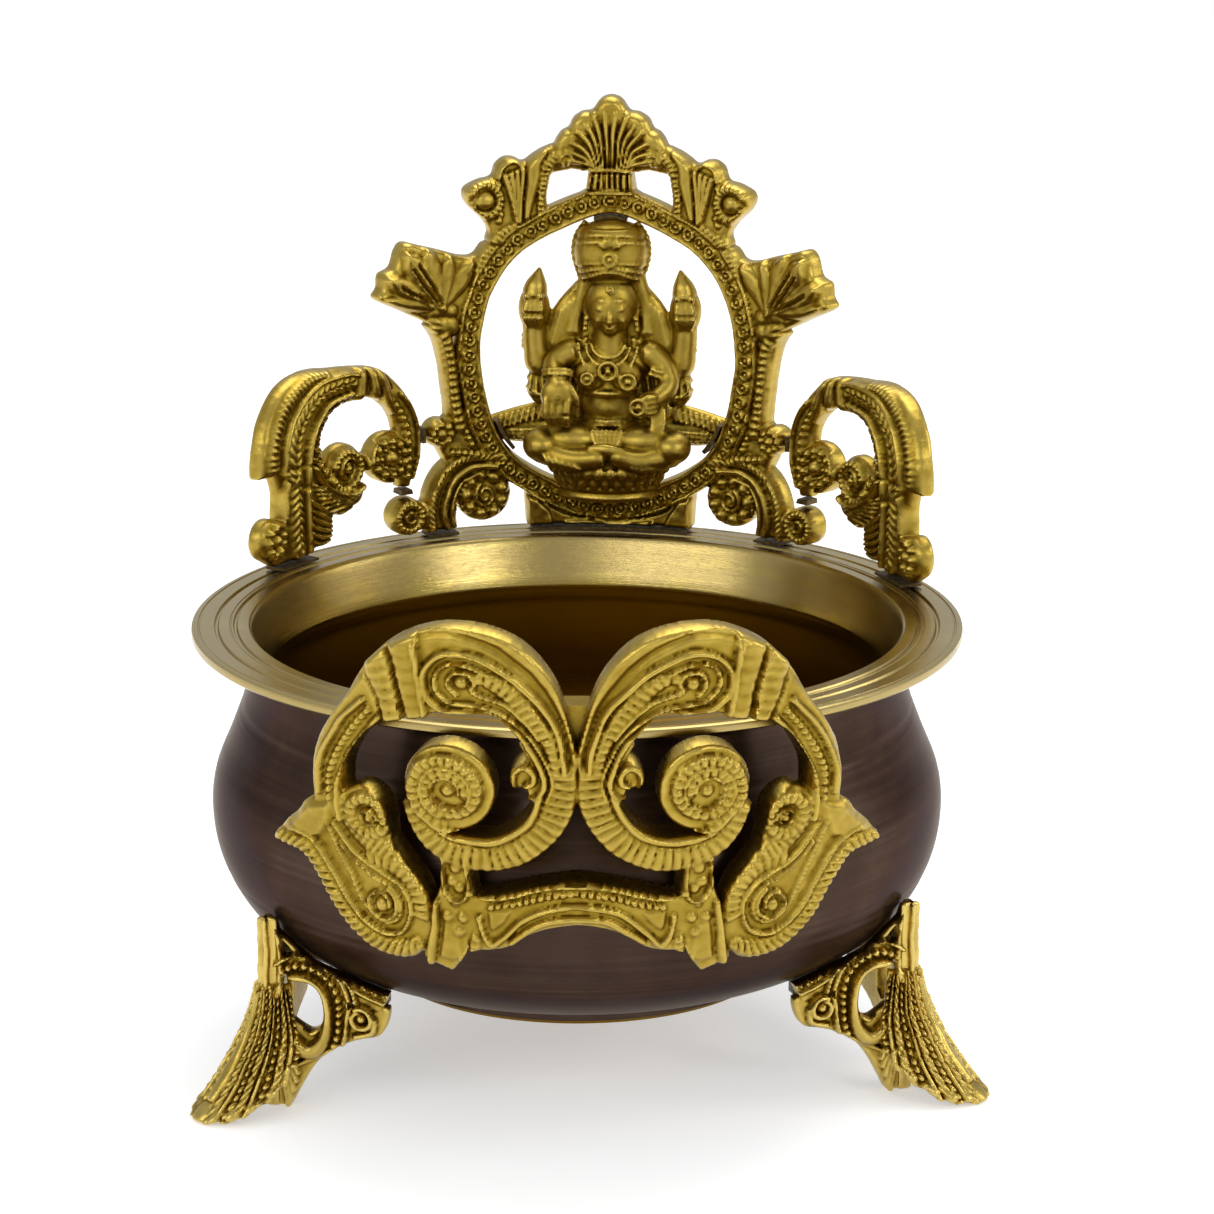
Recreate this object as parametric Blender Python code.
"""Brass urli bowl on three cast feet, with a deity arch, two side scrolls and a front scroll handle.

Built in millimetres and scaled to metres at the end. +Z is up, the ground is Z = 0, the front (the
handle) faces -Y and the deity stands at +Y. Nothing moves: every casting is brazed or soldered on.
Cast plates are drawn flat, as (u, v) outlines in millimetres, and bent round the bowl's axis.
"""
import math

import bmesh
import bpy
from mathutils import Matrix, Vector, geometry

# ---- driving dimensions, mm and degrees ----
MM = 0.001
GAP = 0.35                # clearance between two touching pieces
RIM_Z = 102.5             # top of the flange above the ground
RIM_R = 90.0              # outer radius of the flange
LIP_R = 75.0              # inner radius of the flange
FLANGE_T = 2.4            # flange thickness at its edge
BELLY_R = 85.8            # widest radius of the belly
WALL = 2.2                # bowl wall
AXIS_X = -1.9             # the bowl's axis, so that the bounding box is centred on the origin
AXIS_Y = 1.2
BACK_TURN = 5.7           # the back castings stand turned this far about the bowl's axis
FOOT_ANGLES = {"left": -56.0, "right": 64.0, "back": 184.0}   # from the front, towards +X

CAST_R = 84.0             # radius on which the back castings are bent
BASE_Z = 1.3              # underside of the back castings above the rim, room for the braze
ARCH_T = 7.0
SCROLL_T = 6.5

HANDLE_T = 7.4
HANDLE_LEAN = 10.0        # the handle's top leans out
HANDLE_R = 92.6           # radius of the handle's front face at its foot
HANDLE_BEND_R = 98.6      # radius on which the handle is bent
HANDLE_Z = RIM_Z - 55.0   # height of the handle's foot

RIDGE_R = 84.5            # radius of the foot's ridge
TOE_R = 102.0             # radius of the tip of the toe
WING_T = 4.4
WING_SPLAY = 45.0         # each wing runs back from the ridge at this angle to the radius
TOE_TOP = 30.0            # height at which the toe dies into the ridge
SOLDER_T = 3.0

BRAZE_T = 4.0             # thickness of the brazes that are seen edge on
BRAZE_W = 1.0             # width of the braze between the figure and the ring

LATHE_STEPS = 52
CURVE_STEPS = 3           # points added between two key points of a smooth line
COLLECTION = bpy.context.scene.collection


# ---- materials ----
def material(name, colour, roughness, metallic):
    """A Principled material."""
    mat = bpy.data.materials.new(name)
    mat.use_nodes = True
    shader = mat.node_tree.nodes["Principled BSDF"]
    shader.inputs["Base Color"].default_value = (*colour, 1.0)
    shader.inputs["Roughness"].default_value = roughness
    shader.inputs["Metallic"].default_value = metallic
    mat.diffuse_color = (*colour, 1.0)
    return mat


def make_materials():
    """The four finishes of the object."""
    return {
        "bowl": material("bowl_brass_and_lacquer", (0.10, 0.075, 0.055), 0.35, 1.0),
        "cast": material("cast_brass", (0.62, 0.43, 0.13), 0.36, 1.0),
        "braze": material("dark_braze", (0.06, 0.045, 0.03), 0.70, 0.4),
        "solder": material("grey_solder", (0.30, 0.29, 0.27), 0.65, 0.8),
    }


# ---- flat outlines ----
def smooth(points, closed=False, steps=CURVE_STEPS):
    """A Catmull-Rom line through points of any dimension."""
    count = len(points)
    spans = count if closed else count - 1
    line = []
    for i in range(spans):
        if closed:
            p0, p1, p2, p3 = (points[(i + k) % count] for k in (-1, 0, 1, 2))
        else:
            p0, p1, p2, p3 = (points[min(max(i + k, 0), count - 1)] for k in (-1, 0, 1, 2))
        for j in range(steps):
            t = j / steps
            line.append(tuple(
                0.5 * (2 * b + (c - a) * t + (2 * a - 5 * b + 4 * c - d) * t * t
                       + (3 * b - a - 3 * c + d) * t ** 3)
                for a, b, c, d in zip(p0, p1, p2, p3)))
    if not closed:
        line.append(tuple(points[-1]))
    return line


def band(points, steps=CURVE_STEPS):
    """Outline of a band: points are (u, v, width) along its middle."""
    line = smooth(points, steps=steps)
    left, right = [], []
    for i, (u, v, width) in enumerate(line):
        before, after = line[max(i - 1, 0)], line[min(i + 1, len(line) - 1)]
        along = Vector((after[0] - before[0], after[1] - before[1])).normalized()
        left.append((u - along.y * width / 2, v + along.x * width / 2))
        right.append((u + along.y * width / 2, v - along.x * width / 2))
    return left + right[::-1]


def disc(u, v, radius, count=18):
    """A round outline."""
    return [(u + radius * math.cos(math.tau * i / count), v + radius * math.sin(math.tau * i / count))
            for i in range(count)]


def mirrored(outlines):
    """The outlines and their mirror images across u = 0."""
    return outlines + [[(-u, v) for u, v in outline[::-1]] for outline in outlines]


def standing(outlines, level=BASE_Z):
    """The outlines with everything below a level pressed flat onto it."""
    return [[(u, max(v, level)) for u, v in outline] for outline in outlines]


def split_long_edges(outline, longest=5.0):
    """Add points to long straight edges, so that they can be bent."""
    result = []
    for i, start in enumerate(outline):
        end = outline[(i + 1) % len(outline)]
        parts = max(1, math.ceil(math.dist(start, end) / longest))
        for j in range(parts):
            t = j / parts
            result.append((start[0] + (end[0] - start[0]) * t, start[1] + (end[1] - start[1]) * t))
    return result


def counter_clockwise(outline):
    """The outline, wound so that its inside is on the left."""
    area = sum(a[0] * b[1] - b[0] * a[1] for a, b in zip(outline, outline[1:] + outline[:1]))
    return outline if area > 0 else outline[::-1]


# ---- solids ----
def add_object(name, bm, mat):
    """Turn a bmesh in millimetres into a named object in metres."""
    bmesh.ops.recalc_face_normals(bm, faces=bm.faces)
    mesh = bpy.data.meshes.new(name)
    bm.to_mesh(mesh)
    bm.free()
    mesh.transform(Matrix.Scale(MM, 4))
    mesh.shade_smooth()
    mesh.set_sharp_from_angle(angle=math.radians(40))
    if mat:
        mesh.materials.append(mat)
    obj = bpy.data.objects.new(name, mesh)
    COLLECTION.objects.link(obj)
    return obj


def plate_bmesh(outlines, thickness, place):
    """Union of flat outlines as a plate; place(u, v, d) bends it, d is the height off its middle."""
    points, faces = [], []
    for outline in outlines:
        outline = split_long_edges(counter_clockwise(outline))
        faces.append(list(range(len(points), len(points) + len(outline))))
        points.extend(Vector(p) for p in outline)
    flat, _, triangles, _, _, covering = geometry.delaunay_2d_cdt(points, [], faces, 1, 1e-4)
    triangles = [tri for tri, outlines_over_it in zip(triangles, covering) if outlines_over_it]
    bm = bmesh.new()
    front = [bm.verts.new(place(p.x, p.y, thickness / 2)) for p in flat]
    back = [bm.verts.new(place(p.x, p.y, -thickness / 2)) for p in flat]
    directed_edges = set()
    for a, b, c in triangles:
        bm.faces.new((front[a], front[b], front[c]))
        bm.faces.new((back[c], back[b], back[a]))
        directed_edges.update(((a, b), (b, c), (c, a)))
    for a, b in sorted(directed_edges):
        if (b, a) not in directed_edges:
            bm.faces.new((front[b], front[a], back[a], back[b]))
    loose = [v for v in bm.verts if not v.link_faces]
    bmesh.ops.delete(bm, geom=loose, context="VERTS")
    bmesh.ops.dissolve_limit(bm, angle_limit=math.radians(1.5), verts=bm.verts, edges=bm.edges)
    bmesh.ops.triangulate(bm, faces=bm.faces)
    return bm


def lathe_bmesh(profile, closed=True):
    """Turn (radius, z) points round the bowl's axis; a point with radius 0 is on the axis."""
    bm = bmesh.new()
    rings = []
    for radius, z in profile:
        count = 1 if radius == 0 else LATHE_STEPS
        rings.append([bm.verts.new((AXIS_X + radius * math.cos(math.tau * i / LATHE_STEPS),
                                    AXIS_Y + radius * math.sin(math.tau * i / LATHE_STEPS), z))
                      for i in range(count)])
    following = rings[1:] + rings[:1] if closed else rings[1:]
    for upper, lower in zip(rings, following):
        for i in range(LATHE_STEPS):
            corners = [upper[i % len(upper)], upper[(i + 1) % len(upper)],
                       lower[(i + 1) % len(lower)], lower[i % len(lower)]]
            distinct = list(dict.fromkeys(corners))
            if len(distinct) > 2:
                bm.faces.new(distinct)
    return bm


def loft_bmesh(sections):
    """Skin a stack of closed sections with equal numbers of points."""
    bm = bmesh.new()
    rings = [[bm.verts.new(p) for p in section] for section in sections]
    for lower, upper in zip(rings, rings[1:]):
        for i in range(len(lower)):
            j = (i + 1) % len(lower)
            bm.faces.new((lower[i], lower[j], upper[j], upper[i]))
    bm.faces.new(rings[0][::-1])
    bm.faces.new(rings[-1])
    return bm


def boolean(obj, other, operation):
    """Keep a Boolean on obj and hide the other object as its cutter or guide."""
    modifier = obj.modifiers.new(operation.lower(), "BOOLEAN")
    modifier.operation = operation
    modifier.object = other
    modifier.solver = "EXACT"
    other.hide_render = True
    other.display_type = "WIRE"


# ---- places ----
def turned(x, y, degrees):
    """Turn a point about the bowl's axis, clockwise seen from above, then add the axis."""
    angle = math.radians(degrees)
    return (x * math.cos(angle) + y * math.sin(angle) + AXIS_X,
            y * math.cos(angle) - x * math.sin(angle) + AXIS_Y)


def on_back(u, v, d):
    """Back castings: u runs along the rim from the arch's middle, v is the height above the rim."""
    angle = u / CAST_R
    radius = CAST_R - d
    x, y = turned(radius * math.sin(angle), radius * math.cos(angle), BACK_TURN)
    return Vector((x, y, RIM_Z + v))


def on_handle(u, v, d):
    """The handle: u runs round the bowl from the front, v runs up the leaning plate."""
    lean = math.radians(HANDLE_LEAN)
    angle = u / HANDLE_BEND_R
    radius = HANDLE_R - HANDLE_T / 2 + v * math.sin(lean) + d * math.cos(lean)
    return Vector((AXIS_X + radius * math.sin(angle), AXIS_Y - radius * math.cos(angle),
                   HANDLE_Z + v * math.cos(lean) - d * math.sin(lean)))


def on_wing(foot_angle, side):
    """A wing of a foot: u runs back from the ridge, v is the height above the ground."""
    outward = math.radians(foot_angle)
    along = outward + math.pi - side * math.radians(WING_SPLAY)

    def place(u, v, d):
        x = RIDGE_R * math.sin(outward) + u * math.sin(along) - side * d * math.cos(along)
        y = -RIDGE_R * math.cos(outward) - u * math.cos(along) - side * d * math.sin(along)
        return Vector((AXIS_X + x, AXIS_Y + y, v))
    return place


# ---- the bowl ----
FOOT_RING_Z = -83.4       # underside of the bowl's foot ring, from the rim's top
FLOOR_Z = -79.4           # flat floor inside the bowl, from the rim's top


def outer_profile():
    """Outside of the bowl as (radius, height from the rim's top), from the flange down to the axis."""
    belly = smooth([(76.6, -4.2), (76.4, -9.0), (77.6, -16.0), (81.2, -26.0), (84.8, -35.0),
                    (BELLY_R, -43.0), (84.6, -52.0), (81.0, -60.5), (75.4, -67.5), (66.0, -73.6),
                    (56.0, -77.8), (47.5, -80.4)], steps=1)
    return ([(RIM_R, 0.0), (RIM_R, -FLANGE_T), (79.0, -FLANGE_T - 0.4)] + belly
            + [(46.8, FOOT_RING_Z), (43.0, FOOT_RING_Z), (41.5, -81.6), (0.0, -81.6)])


def inner_profile():
    """Inside of the bowl and top of the flange, from the axis up and out."""
    belly = smooth([(40.0, FLOOR_Z), (56.0, -75.4), (66.0, -71.2), (73.6, -65.6), (79.0, -58.8),
                    (82.4, -51.0), (BELLY_R - WALL, -43.0), (82.6, -35.4), (79.0, -26.6),
                    (75.4, -17.0), (73.6, -10.0), (LIP_R - 2.0, -4.5)], steps=1)
    groove_outer = [(79.2, 0.0), (79.7, -0.5), (80.3, 0.0)]
    groove_rim = [(83.6, 0.0), (84.1, -0.5), (84.6, 0.0)]
    return [(0.0, FLOOR_Z)] + belly + [(LIP_R, -0.6), (LIP_R + 0.6, 0.0)] + groove_outer + groove_rim


def make_bowl(mats):
    """The turned bowl."""
    profile = [(r, RIM_Z + z) for r, z in outer_profile() + inner_profile()]
    add_object("bowl", lathe_bmesh(profile), mats["bowl"])


def make_bowl_cutter():
    """The bowl's outside, larger by the gap, to fit the feet and brazes to it."""
    top, bottom = RIM_Z + 8.0, RIM_Z + FOOT_RING_Z - GAP
    grown = [(r + GAP, RIM_Z + z) for r, z in outer_profile()[:-4]]
    profile = [(0.0, top), (RIM_R + GAP, top)] + grown + [(47.0, bottom), (0.0, bottom)]
    return add_object("bowl_cutter", lathe_bmesh(profile, closed=False), None)


# ---- the back arch ----
RING_W = 6.4
RING_SIDE = [(0.0, 5.8), (9.2, 7.6), (15.3, 10.2), (20.5, 13.0), (26.0, 17.0), (30.0, 21.8),
             (32.6, 27.0), (34.4, 33.0), (35.6, 39.0), (36.3, 45.0), (35.9, 51.0), (34.6, 57.5),
             (32.0, 64.0), (28.0, 69.8), (22.8, 74.4), (16.5, 77.8), (8.0, 81.6), (0.0, 83.6)]


def ring_line():
    """Middle of the arch's ring, once round."""
    return RING_SIDE[:-1] + [(-u, v) for u, v in RING_SIDE[:0:-1]]


def offset_ring(distance):
    """The ring's middle line moved inwards by distance."""
    line = smooth(ring_line(), closed=True, steps=3)
    centre = Vector((0.0, 44.0))
    moved = []
    for i, point in enumerate(line):
        before, after = line[i - 1], line[(i + 1) % len(line)]
        along = Vector((after[0] - before[0], after[1] - before[1])).normalized()
        inward = Vector((-along.y, along.x))
        if inward.dot(centre - Vector(point)) < 0:
            inward.negate()
        moved.append((point[0] + inward.x * distance, point[1] + inward.y * distance))
    return moved


def arch_ring():
    """The ring as a chain of short bands."""
    line = smooth(ring_line(), closed=True, steps=2)
    pieces = []
    size = len(line) // 4
    for start in range(0, len(line), size):
        run = [line[(start + k) % len(line)] for k in range(size + 2)]
        pieces.append(band([(u, v, RING_W) for u, v in run], steps=1))
    return pieces


def arch_side():
    """Outlines of the arch's right half, without its ring."""
    stalk = band([(44.4, 55.0, 6.5), (42.6, 50.5, 4.8), (41.4, 44.5, 4.2), (40.7, 38.5, 4.0),
                  (39.9, 32.7, 4.2), (39.3, 27.0, 5.5)])
    lotus = smooth([(42.0, 50.5), (45.8, 53.7), (53.5, 57.8), (60.7, 61.6), (59.6, 64.2), (59.0, 67.5),
                    (56.0, 69.0), (54.6, 73.0), (52.6, 74.9), (48.6, 73.8), (42.5, 72.0), (37.5, 70.4),
                    (34.2, 70.6), (31.6, 73.4), (28.0, 72.0), (32.0, 62.0),
                    (37.0, 52.0)], closed=True, steps=2)
    leaves = smooth([(13.0, 97.4), (16.6, 96.4), (19.2, 94.9), (21.6, 93.3), (24.0, 94.3), (26.4, 94.3),
                     (28.5, 92.6), (29.6, 89.8), (32.7, 89.0), (36.0, 87.4), (36.7, 85.2), (35.4, 82.6),
                     (32.2, 79.4), (30.5, 76.5), (30.8, 73.4), (26.0, 72.5), (20.0, 76.0), (15.5, 79.4),
                     (16.0, 84.0), (15.4, 88.0), (14.6, 90.2), (11.0, 91.2), (11.0, 95.0)],
                    closed=True, steps=2)
    inner_curl = disc(11.2, 94.0, 3.1, 12)
    volute = disc(32.4, 10.1, 7.1, 20)
    outer_band = band([(27.0, 17.4, 5.0), (31.5, 18.4, 4.5), (37.0, 18.0, 6.0), (41.2, 15.2, 7.6),
                       (43.6, 10.2, 8.6), (43.8, 5.4, 8.6), (43.4, BASE_Z, 8.6)])
    knuckle = disc(53.2, 6.1, 4.8, 14)
    knuckle_root = [(46.5, 2.4), (53.0, 1.5), (53.0, 8.0), (46.5, 9.5)]
    flower = disc(44.0, 26.4, 3.7, 14)
    flower_root = [(31.0, 17.5), (41.5, 17.0), (44.5, 22.8), (42.5, 30.0), (36.0, 33.0), (32.0, 26.0)]
    return [stalk, lotus, leaves, inner_curl, volute, outer_band, knuckle, knuckle_root, flower, flower_root]


def arch_middle():
    """Outlines on the arch's middle line: palmette, collar and plinth."""
    fan = [(4.8, 91.0), (8.6, 91.0), (12.6, 92.3), (14.1, 94.7), (13.9, 97.6), (12.2, 100.4), (10.4, 101.5),
           (9.2, 103.8), (7.0, 105.3), (4.6, 105.8), (3.0, 108.0), (1.3, 109.2)]
    palmette = smooth(fan + [(-u, v) for u, v in fan[::-1]], closed=True, steps=2)
    collar = [(-6.2, 86.0), (-5.4, 92.0), (5.4, 92.0), (6.2, 86.0), (8.6, 84.6), (7.0, 82.0),
              (-7.0, 82.0), (-8.6, 84.6)]
    plinth = [(-21.0, BASE_Z), (21.0, BASE_Z), (21.6, 10.6), (18.0, 11.6), (9.0, 7.8), (0.0, 6.2),
              (-9.0, 7.8), (-18.0, 11.6), (-21.6, 10.6)]
    return [palmette, collar, plinth]


def make_arch(mats):
    """The cast arch."""
    outlines = standing(arch_ring() + mirrored(arch_side()) + arch_middle())
    add_object("back_arch", plate_bmesh(outlines, ARCH_T, on_back), mats["cast"])


# ---- the side scrolls ----
def scroll_outlines():
    """Outlines of the right side scroll."""
    crest = band([(53.8, 13.6, 3.4), (53.4, 17.5, 5.0), (52.7, 22.5, 6.4), (52.9, 28.0, 6.4),
                  (54.2, 33.0, 6.4), (57.4, 37.6, 6.6), (62.0, 41.0, 7.4), (68.0, 41.8, 8.2),
                  (75.0, 41.8, 9.6), (82.0, 40.2, 15.0), (88.2, 36.4, 20.5), (91.4, 30.3, 24.0),
                  (92.0, 23.8, 24.6)])
    stem = band([(90.0, 25.5, 18.0), (90.3, 19.0, 10.6), (90.5, 13.0, 10.6), (89.6, 7.0, 12.5),
                 (89.0, BASE_Z, 13.5)])
    foot_curl = disc(100.2, 8.6, 5.2, 16)
    foot_root = [(84.0, BASE_Z), (97.5, BASE_Z), (102.0, 3.7), (101.0, 13.0), (90.0, 12.0)]
    leaf = smooth([(86.0, 20.0), (79.0, 14.0), (76.8, 8.5), (77.4, 4.6), (80.5, 3.0), (87.0, 3.0)],
                  closed=True, steps=2)
    fan = smooth([(84.0, 22.0), (75.0, 18.4), (66.8, 17.0), (65.7, 14.0), (67.2, 11.6), (71.0, 10.4),
                  (77.0, 9.4), (84.0, 10.0)], closed=True, steps=2)
    inner_curl = disc(72.2, 21.2, 6.1, 16)
    link_curl = disc(58.4, 21.9, 6.4, 16)
    bridge = [(62.0, 24.0), (62.0, 20.0), (68.0, 19.0), (68.0, 23.5)]
    inner_root = band([(84.0, 25.0, 9.0), (79.5, 20.0, 7.0), (73.0, 17.4, 6.0)])
    return [crest, stem, foot_curl, foot_root, leaf, fan, inner_curl, link_curl, bridge, inner_root]


def make_side_scrolls(mats):
    """The two side scrolls, mirror images."""
    right = standing(scroll_outlines())
    left = mirrored(right)[len(right):]
    for name, outlines in (("side_scroll_right", right), ("side_scroll_left", left)):
        add_object(name, plate_bmesh(outlines, SCROLL_T, on_back), mats["cast"])


# ---- the front handle ----
def handle_side():
    """Outlines of the handle's right half."""
    boss = disc(28.0, 44.6, 10.3, 22)
    scroll = band([(37.6, 40.5, 4.0), (35.0, 35.0, 5.5), (30.5, 31.0, 7.0), (24.5, 29.5, 8.4),
                   (17.0, 29.9, 8.6), (10.2, 33.8, 9.0), (5.6, 40.0, 9.2), (4.2, 48.0, 9.4),
                   (6.0, 57.5, 10.0), (10.5, 66.5, 14.0), (17.0, 71.8, 18.0), (25.0, 73.0, 19.4),
                   (32.0, 71.3, 18.6), (38.5, 68.0, 16.2), (43.6, 64.4, 12.0), (48.3, 60.0, 8.6),
                   (52.6, 55.0, 8.4), (56.4, 49.0, 8.6), (58.2, 42.0, 9.0), (58.6, 36.0, 9.0)])
    comma = band([(10.0, 57.0, 5.0), (7.6, 51.0, 4.6), (8.2, 46.4, 4.6), (10.8, 45.4, 3.6)])
    comma_curl = disc(10.8, 48.8, 3.5, 12)
    body = smooth([(76.0, 25.0), (71.5, 23.3), (67.8, 23.2), (64.8, 20.3), (62.0, 15.5), (59.0, 10.5),
                   (55.5, 6.3), (51.0, 3.2), (45.5, 1.6), (39.5, 1.7), (36.0, 6.0), (34.3, 12.0),
                   (34.5, 17.0), (36.7, 21.7), (40.2, 26.0), (42.6, 30.0), (42.8, 34.5), (43.6, 39.0),
                   (46.6, 41.8), (50.0, 42.4), (54.0, 40.6), (60.0, 38.5), (65.0, 36.2), (68.0, 33.0),
                   (72.6, 29.4)],
                  closed=True, steps=2)
    post = band([(27.4, 30.0, 6.4), (27.4, 22.0, 7.6), (28.8, 14.0, 10.6), (31.6, 6.0, 11.0),
                 (33.6, 0.6, 7.5)])
    foot_bar = band([(-1.0, 17.8, 11.4), (7.0, 16.8, 11.2), (13.5, 14.8, 12.0), (19.5, 12.5, 14.0),
                     (26.0, 11.5, 13.0)])
    body_root = [(31.0, 10.0), (37.0, 8.0), (37.0, 3.0), (32.0, 3.0)]
    return [boss, scroll, comma, comma_curl, body, post, foot_bar, body_root]


def make_handle(mats):
    """The double C-scroll handle plate."""
    add_object("front_handle", plate_bmesh(mirrored(handle_side()), HANDLE_T, on_handle), mats["cast"])


def make_handle_lug(mats):
    """The lug that joins the flange to the handle's middle."""
    half_width = 4.0
    on_flange = [(83.5, 3.6), (83.5, GAP), (RIM_R + GAP, GAP), (RIM_R + GAP, -6.0)]
    behind_handle = [(93.9 - GAP, -6.0), (95.0 - GAP, 0.0), (96.3 - GAP, 7.5), (88.5, 7.5)]
    sections = [[(AXIS_X + x, AXIS_Y - r, RIM_Z + z) for r, z in on_flange + behind_handle]
                for x in (-half_width, half_width)]
    add_object("handle_lug", loft_bmesh(sections), mats["cast"])


# ---- the feet ----
def wing_outlines():
    """Outlines of one wing: strip along the bowl, C-scroll round a hole, curl, lower edge."""
    lip = band([(0.5, 50.0, 6.0), (7.0, 42.5, 8.0), (14.0, 36.5, 8.0), (21.0, 32.0, 7.5), (28.5, 29.0, 6.5)],
               steps=2)
    ridge = [(-1.5, 0.0), (3.4, 0.0), (3.8, 20.0), (3.4, 52.0), (-1.5, 52.0)]
    c_scroll = band([(1.0, 34.0, 4.0), (7.5, 33.8, 5.5), (13.2, 30.5, 6.0), (15.8, 24.5, 6.2),
                     (14.8, 18.5, 6.4), (9.5, 15.8, 6.0), (3.0, 18.0, 8.0)], steps=2)
    curl = disc(21.4, 22.6, 3.4, 12)
    lower = smooth([(2.0, 19.0), (2.0, 0.0), (4.5, 0.0), (6.3, 3.2), (9.8, 9.4), (13.2, 13.2), (17.3, 15.7),
                    (21.3, 17.2), (25.6, 18.4), (27.6, 21.6), (27.8, 25.4), (24.0, 24.0), (17.0, 22.0),
                    (10.0, 17.0)], closed=True, steps=2)
    return standing([lip, ridge, c_scroll, curl, lower], 0.0)


def toe_sections(foot_angle):
    """Level sections of the fan-leaf toe, from the ground up."""
    outward = math.radians(foot_angle)
    levels = 7
    sections = []
    for i in range(levels):
        spread = 1.0 - i / (levels - 1)
        height = TOE_TOP * (1.0 - spread)
        reach = (TOE_R - RIDGE_R) * spread ** 1.7 + 1.2
        half = 3.2 + 6.4 * spread
        shape = [(-5.0, -half * 0.8), (reach * 0.45, -half), (reach * 0.85, -half * 0.72),
                 (reach, -half * 0.25), (reach, half * 0.25), (reach * 0.85, half * 0.72),
                 (reach * 0.45, half), (-5.0, half * 0.8)]
        sections.append([(AXIS_X + (RIDGE_R + a) * math.sin(outward) + t * math.cos(outward),
                          AXIS_Y - (RIDGE_R + a) * math.cos(outward) + t * math.sin(outward), height)
                         for a, t in shape])
    return sections


def make_foot(name, foot_angle, bowl_cutter, mats):
    """One corner-bracket foot: two wings and a toe in one casting, fitted to the bowl."""
    foot = add_object(f"foot_{name}", loft_bmesh(toe_sections(foot_angle)), mats["cast"])
    for side in (-1, 1):
        wing = plate_bmesh(wing_outlines(), WING_T, on_wing(foot_angle, side))
        wing = add_object(f"foot_{name}_wing_{'b' if side > 0 else 'a'}", wing, None)
        boolean(foot, wing, "UNION")
    boolean(foot, bowl_cutter, "DIFFERENCE")


def make_solder(name, foot_angle, bowl_cutter, mats):
    """Solder fillets behind the ends of a foot's wings, up to the bowl."""
    outline = [(15.0, 28.0), (20.0, 25.5), (27.0, 25.0), (27.0, 40.0), (15.0, 40.0)]
    for side in (-1, 1):
        place = on_wing(foot_angle, side)
        behind = (WING_T + SOLDER_T) / 2 + GAP
        bm = plate_bmesh([outline], SOLDER_T, lambda u, v, d: place(u, v, d - behind))
        fillet = add_object(f"foot_solder_{name}_{'b' if side > 0 else 'a'}", bm, mats["solder"])
        boolean(fillet, bowl_cutter, "DIFFERENCE")


# ---- the deity figure ----
FIGURE_D = 2.0            # the figure's middle stands this far in front of the arch's middle


def limb(bm, start, end, radius_start, radius_end, count=10):
    """A closed round limb between two points."""
    start, end = Vector(start), Vector(end)
    rotation = (end - start).to_track_quat("Z", "Y")
    length = (end - start).length
    rings = []
    for t, scale in ((-0.7, 0.7), (0.0, 1.0), (1.0, 1.0), (1.7, 0.7)):
        radius = (radius_start if t < 0.5 else radius_end) * scale
        if t < 0.0:
            along = t * radius_start
        elif t > 1.0:
            along = length + (t - 1.0) * radius_end
        else:
            along = t * length
        ring = []
        for i in range(count):
            angle = math.tau * i / count
            offset = Vector((radius * math.cos(angle), radius * math.sin(angle), along))
            ring.append(bm.verts.new(start + rotation @ offset))
        rings.append(ring)
    for lower, upper in zip(rings, rings[1:]):
        for i in range(count):
            bm.faces.new((lower[i], lower[(i + 1) % count], upper[(i + 1) % count], upper[i]))
    bm.faces.new(rings[0][::-1])
    bm.faces.new(rings[-1])


def ball(bm, centre, radii):
    """An ellipsoid."""
    matrix = Matrix.Translation(centre) @ Matrix.Diagonal((*radii, 1.0))
    bmesh.ops.create_uvsphere(bm, u_segments=16, v_segments=10, radius=1.0, matrix=matrix)


def figure_bmesh():
    """The seated figure in its own frame: x across, y forwards, z above the rim."""
    bm = bmesh.new()
    ball(bm, (0, 2, 15.5), (15.0, 11.0, 5.4))
    ball(bm, (0, 2, 12.6), (12.6, 9.0, 2.9))
    ball(bm, (0, 1, 34.0), (8.0, 5.8, 12.0))
    ball(bm, (0, 1, 43.5), (10.6, 5.6, 6.0))
    limb(bm, (0, 1, 46), (0, 1.5, 54), 3.6, 3.6)
    ball(bm, (0, 2.0, 57.5), (5.6, 5.6, 7.4))
    ball(bm, (0, 0.5, 70.5), (9.9, 6.4, 9.4))
    ball(bm, (0, 0, 58.0), (9.0, 2.6, 8.0))
    for side in (-1, 1):
        limb(bm, (side * 6, 3, 24), (side * 16.5, 7, 22.5), 5.6, 5.0)
        limb(bm, (side * 16.0, 8, 21.5), (-side * 3.5, 12, 19.6), 4.0, 3.2)
        limb(bm, (side * 9.0, 1, 46), (side * 18.0, 1, 39), 3.6, 3.4)
        limb(bm, (side * 18.0, 1, 39), (side * 18.8, -0.5, 51), 3.6, 3.0)
        limb(bm, (side * 17.5, 2, 39), (side * 11.0, 9, 36), 3.6, 3.4)
        ball(bm, (side * 18.4, -0.5, 58.0), (3.9, 3.6, 9.6))
        limb(bm, (side * 8.0, -0.5, 62), (side * 16.0, -0.5, 50), 2.6, 2.6)
        limb(bm, (side * 17.0, -1, 34), (side * 18.5, -1, 26), 3.6, 3.6)
        limb(bm, (side * 15.0, -1, 27.5), (side * 31.0, -1, 25.0), 5.2, 3.4)
    return bm


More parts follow.
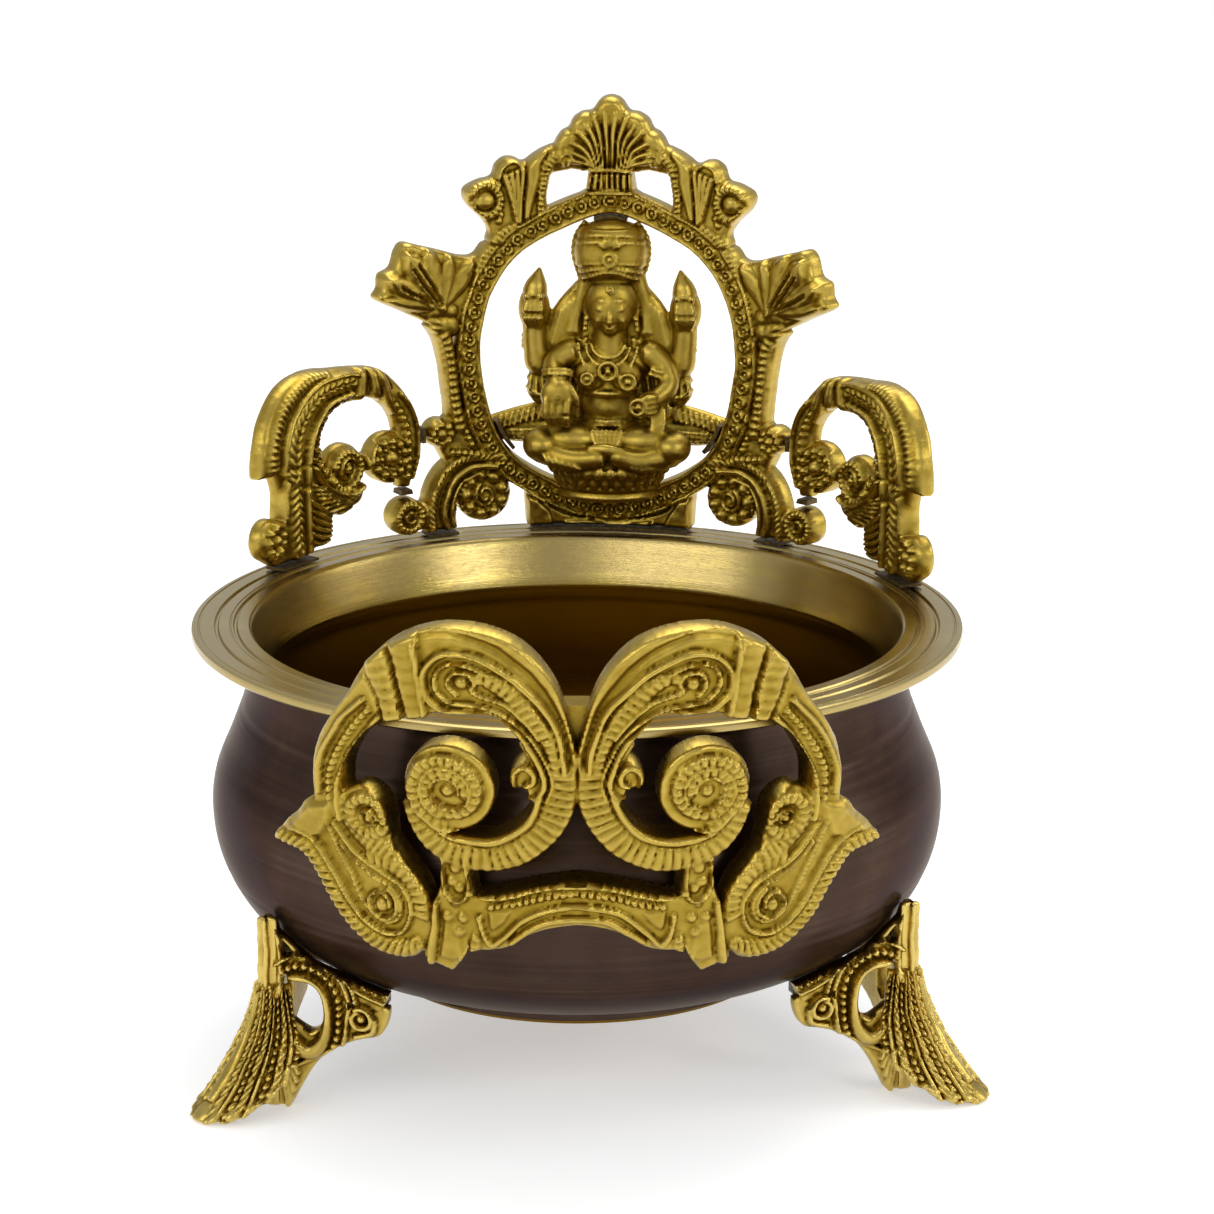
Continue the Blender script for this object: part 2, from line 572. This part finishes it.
def make_figure(mats):
    """The deity figure, rounded together and kept clear of the ring and the plinth."""
    angle = math.radians(BACK_TURN)
    place = (Matrix.Translation((AXIS_X, AXIS_Y, RIM_Z)) @ Matrix.Rotation(-angle, 4, "Z")
             @ Matrix.Translation((0, CAST_R - FIGURE_D, 0)) @ Matrix.Diagonal((1, -1, 1, 1)))
    bm = figure_bmesh()
    bm.transform(place)
    bmesh.ops.reverse_faces(bm, faces=bm.faces)
    figure = add_object("deity_figure", bm, mats["cast"])
    remesh = figure.modifiers.new("one_skin", "REMESH")
    remesh.mode = "VOXEL"
    remesh.voxel_size = 1.3 * MM
    decimate = figure.modifiers.new("lighten", "DECIMATE")
    decimate.ratio = 0.2
    inner = offset_ring(RING_W / 2 + GAP + BRAZE_W + GAP)
    outline = outlines_between(inner, offset_ring(-RING_W))
    cutter = add_object("figure_cutter", plate_bmesh(outline, 40.0, on_back), None)
    boolean(figure, cutter, "DIFFERENCE")


def outlines_between(inner, outer):
    """Quads between an inner and an outer closed line with equal numbers of points."""
    count = len(inner)
    return [[inner[i], inner[(i + 1) % count], outer[(i + 1) % count], outer[i]] for i in range(count)]


# ---- brazes ----
def figure_braze_outline(wanted):
    """Strip of braze along the inside of the ring, where wanted(u, v) is true."""
    near, far = offset_ring(RING_W / 2 + GAP), offset_ring(RING_W / 2 + GAP + BRAZE_W)
    chosen = [i for i, (u, v) in enumerate(near) if wanted(u, v)]
    chosen.sort(key=lambda i: near[i])
    return [near[i] for i in chosen] + [far[i] for i in reversed(chosen)]


def make_brazes(bowl_cutter, mats):
    """The dark joints between the castings."""
    def pad(name, outline, thickness, place):
        return add_object(name, plate_bmesh([outline], thickness, place), mats["braze"])

    beside = figure_braze_outline(lambda u, v: u > 0 and 20.0 <= v <= 28.5)
    above = figure_braze_outline(lambda u, v: abs(u) < 5.0 and v > 60.0)
    pad("figure_braze_right", beside, BRAZE_T, on_back)
    pad("figure_braze_left", [(-u, v) for u, v in beside], BRAZE_T, on_back)
    pad("figure_braze_top", above, BRAZE_T, on_back)

    under = (GAP, BASE_Z - GAP)
    pad("plinth_braze", [(-20, under[0]), (20, under[0]), (20, under[1]), (-20, under[1])], 6.0, on_back)
    for name, sign in (("right", 1), ("left", -1)):
        volute = [(39.5, under[0]), (47.3, under[0]), (47.3, under[1]), (39.5, under[1])]
        foot = [(83.0, under[0]), (97.0, under[0]), (97.0, under[1]), (83.0, under[1])]
        tail = [(51.8, 11.9), (55.4, 11.9), (55.2, 13.1), (52.2, 13.1)]
        link = [(48.1, 24.4), (49.0, 24.4), (49.0, 28.2), (48.1, 28.2)]
        pads = (("volute_braze", volute, 6.0), ("scroll_foot_braze", foot, 5.6),
                ("scroll_tail_braze", tail, BRAZE_T), ("scroll_link_braze", link, BRAZE_T))
        for title, outline, thickness in pads:
            pad(f"{title}_{name}", [(sign * u, v) for u, v in outline], thickness, on_back)
        leg = [(sign * u, v) for u, v in ((31.0, 2.0), (36.0, 2.0), (36.0, 8.0), (31.0, 8.0))]
        depth = 2.0
        behind = (HANDLE_T + depth) / 2 + GAP
        braze = pad(f"handle_braze_{name}", leg, depth, lambda u, v, d: on_handle(u, v, d - behind))
        boolean(braze, bowl_cutter, "DIFFERENCE")


def main():
    """Model the whole object."""
    for obj in list(bpy.data.objects):
        bpy.data.objects.remove(obj)
    mats = make_materials()
    make_bowl(mats)
    bowl_cutter = make_bowl_cutter()
    make_arch(mats)
    make_side_scrolls(mats)
    make_figure(mats)
    make_handle(mats)
    make_handle_lug(mats)
    for name, foot_angle in FOOT_ANGLES.items():
        make_foot(name, foot_angle, bowl_cutter, mats)
        make_solder(name, foot_angle, bowl_cutter, mats)
    make_brazes(bowl_cutter, mats)


main()
